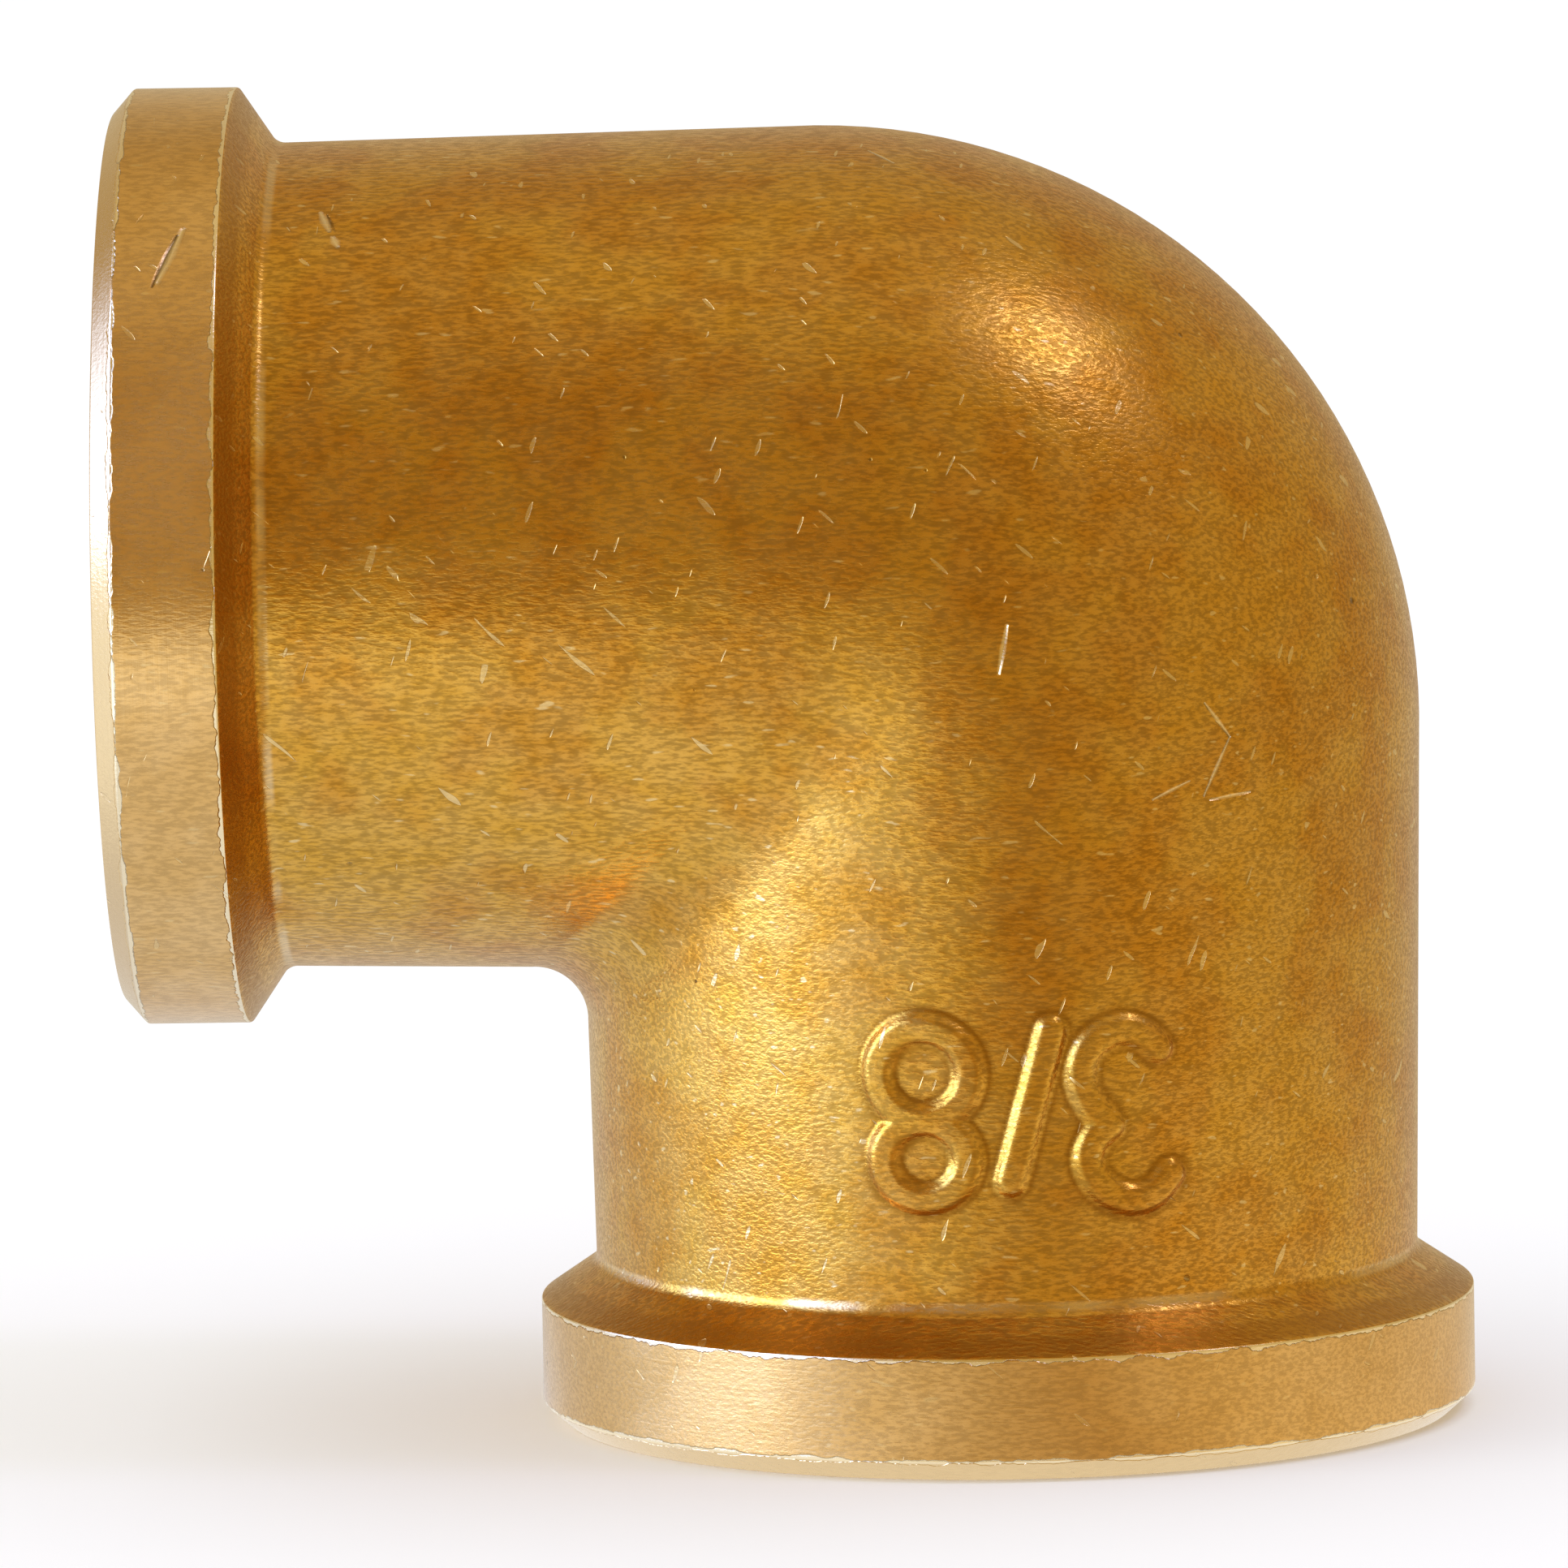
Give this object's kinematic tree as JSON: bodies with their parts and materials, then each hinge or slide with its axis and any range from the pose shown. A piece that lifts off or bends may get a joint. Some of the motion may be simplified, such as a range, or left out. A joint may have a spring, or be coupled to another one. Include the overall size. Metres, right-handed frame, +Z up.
{
  "type": "female threaded elbow",
  "caption": "Right-angle brass pipe elbow with a turned collar and a female 3/8 inch pipe thread at each end.",
  "frame": {"origin": "centre of the lower port's face, which the part stands on", "axes": "+Z up along the axis of the lower leg, -X out of the side port, so the elbow turns in the XZ plane; +Y away from the side that carries the size number"},
  "size_m": [0.0323, 0.0224, 0.0322],
  "materials": {
    "brass": "hot-pressed and blasted, satin, with turned collars and cut threads"
  },
  "bodies": {
    "root": {"elbow_body": "brass"}
  },
  "joints": []
}
